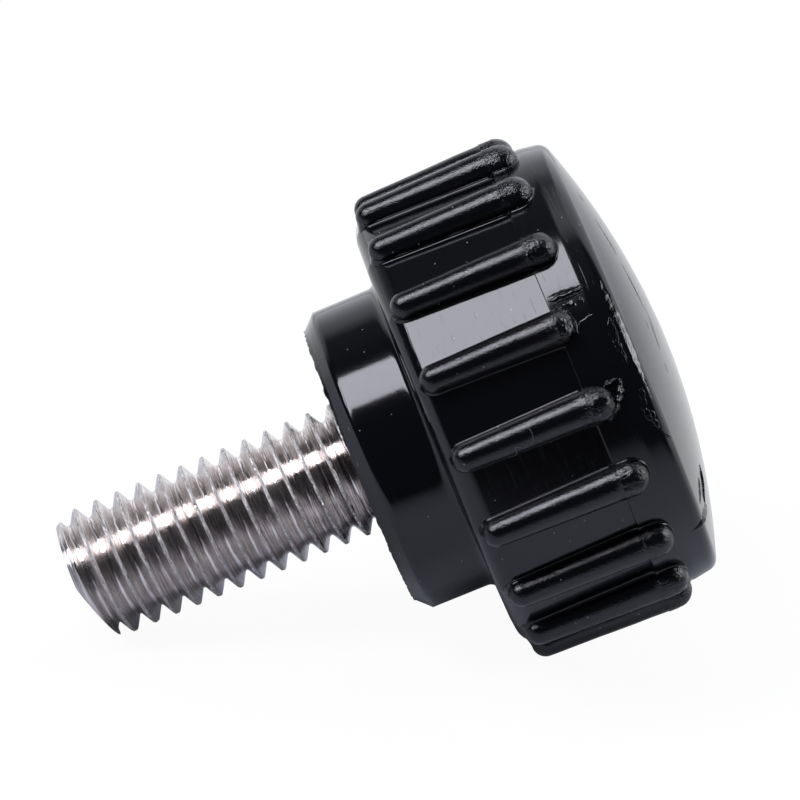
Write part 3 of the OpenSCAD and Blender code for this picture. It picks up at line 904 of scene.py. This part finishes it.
def softbox(name, degrees_up, degrees_along, distance, size_along, size_across, power, colour):
    """An area lamp at an angle about the screw's axis above the camera's own direction, facing the screw."""
    lift, swing = math.radians(degrees_up), math.radians(degrees_along)
    ring = math.cos(lift) * to_front + math.sin(lift) * to_top
    direction = math.cos(swing) * ring + math.sin(swing) * ALONG
    x_axis = ALONG - (ALONG @ direction) * direction
    x_axis = x_axis / np.linalg.norm(x_axis)
    lamp_data = bpy.data.lights.new(name, "AREA")
    lamp_data.shape = "RECTANGLE"
    lamp_data.size, lamp_data.size_y = size_along, size_across
    lamp_data.energy = power
    lamp_data.color = colour
    lamp = bpy.data.objects.new(name, lamp_data)
    centre = (NECK_FACE + 5 * ALONG) / 1000
    lamp.matrix_world = pose_matrix(x_axis, np.cross(direction, x_axis), direction, centre + distance * direction)
    bpy.context.collection.objects.link(lamp)
    print(name, "at", [round(v, 3) for v in lamp.location])
    return lamp


softbox("key", 53, -12, 0.30, 0.25, 0.142, 1.13, (0.90, 0.91, 1.0))
softbox("side", 14, 76, 0.30, 0.08, 0.16, 0.4, (0.95, 0.96, 1.0))

# %% The room
world = bpy.data.worlds.new("room")
bpy.context.scene.world = world
world.use_nodes = True
room = world.node_tree
room_background = room.nodes["Background"]
room_direction = add_node(room, "ShaderNodeTexCoord")
room_parts = add_node(room, "ShaderNodeSeparateXYZ")
join(room, room_direction.outputs["Generated"], room_parts.inputs[0])
room_levels = add_node(room, "ShaderNodeValToRGB")
ROOM_STOPS = ((0.0, 1.12), (0.1, 1.06), (0.23, 0.95), (0.39, 0.75), (0.52, 0.62), (0.6, 0.36), (0.66, 0.11))
room_levels.color_ramp.elements[1].position = ROOM_STOPS[-1][0]
for position, level in ROOM_STOPS[1:-1]:
    room_levels.color_ramp.elements.new(position)
for stop, (position, level) in zip(room_levels.color_ramp.elements, ROOM_STOPS):
    stop.color = (level * 0.96, level * 0.98, level * 1.07, 1)
print("room levels", [(round(e.position, 2), round(e.color[0], 2)) for e in room_levels.color_ramp.elements])
join(room, room_parts.outputs["Z"], room_levels.inputs["Fac"])
room_behind = add_node(room, "ShaderNodeMath", operation="MULTIPLY_ADD")
room_behind.inputs[1].default_value = 0.6
join(room, room_parts.outputs["X"], room_behind.inputs[0])
join(room, room_parts.outputs["Y"], room_behind.inputs[2])
backdrop = add_node(room, "ShaderNodeMapRange", interpolation_type="SMOOTHSTEP")
backdrop.inputs["From Min"].default_value = -0.1
backdrop.inputs["From Max"].default_value = 0.25
join(room, room_behind.outputs[0], backdrop.inputs["Value"])
panel_side = add_node(room, "ShaderNodeVectorMath", operation="DOT_PRODUCT")
panel_side.inputs[1].default_value = ALONG.tolist()
join(room, room_direction.outputs["Generated"], panel_side.inputs[0])
panel_start = add_node(room, "ShaderNodeMapRange", interpolation_type="SMOOTHSTEP")
panel_start.inputs["From Min"].default_value = 0.18
panel_start.inputs["From Max"].default_value = 0.28
join(room, panel_side.outputs["Value"], panel_start.inputs["Value"])
panel_reach = add_node(room, "ShaderNodeMapRange", interpolation_type="SMOOTHSTEP")
panel_reach.inputs["From Min"].default_value = 0.02
panel_reach.inputs["From Max"].default_value = 0.16
join(room, room_parts.outputs["Y"], panel_reach.inputs["Value"])
panel = add_node(room, "ShaderNodeMath", operation="MULTIPLY")
join(room, panel_start.outputs["Result"], panel.inputs[0])
join(room, panel_reach.outputs["Result"], panel.inputs[1])
panel_light = add_node(room, "ShaderNodeMix", data_type="RGBA")
panel_light.inputs["B"].default_value = (1.35, 1.38, 1.5, 1)
join(room, panel.outputs[0], panel_light.inputs["Factor"])
join(room, room_levels.outputs["Color"], panel_light.inputs["A"])
room_front = add_node(room, "ShaderNodeMix", data_type="RGBA")
room_front.inputs["A"].default_value = (0.042, 0.044, 0.052, 1)
join(room, backdrop.outputs["Result"], room_front.inputs["Factor"])
join(room, panel_light.outputs["Result"], room_front.inputs["B"])
room_path = add_node(room, "ShaderNodeLightPath")
room_mix = add_node(room, "ShaderNodeMix", data_type="RGBA")
room_mix.inputs["B"].default_value = (1.0, 1.0, 1.0, 1)
join(room, room_path.outputs["Is Camera Ray"], room_mix.inputs["Factor"])
join(room, room_front.outputs["Result"], room_mix.inputs["A"])
join(room, room_mix.outputs["Result"], room_background.inputs["Color"])
print("room", len(room.nodes), "nodes")

# %% [markdown]
# ## Hand over
#
# The body and the ribs stand for the knob, and the thread stands for the stud. All ride on the one
# body of the screw.

# %% Ride, replace and finish
for piece, node_name, slot_name in ((body, "knob", "black_plastic"), (ribs, "knob", "black_plastic"),
                                    (feet, "knob", "black_plastic"), (scars, "knob", "black_plastic"),
                                    (fibre, "knob", "black_plastic"), (stud, "stud", "plated_steel")):
    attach(piece, "root")
    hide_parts(node_name)

bpy.context.scene.view_settings.view_transform = "Standard"
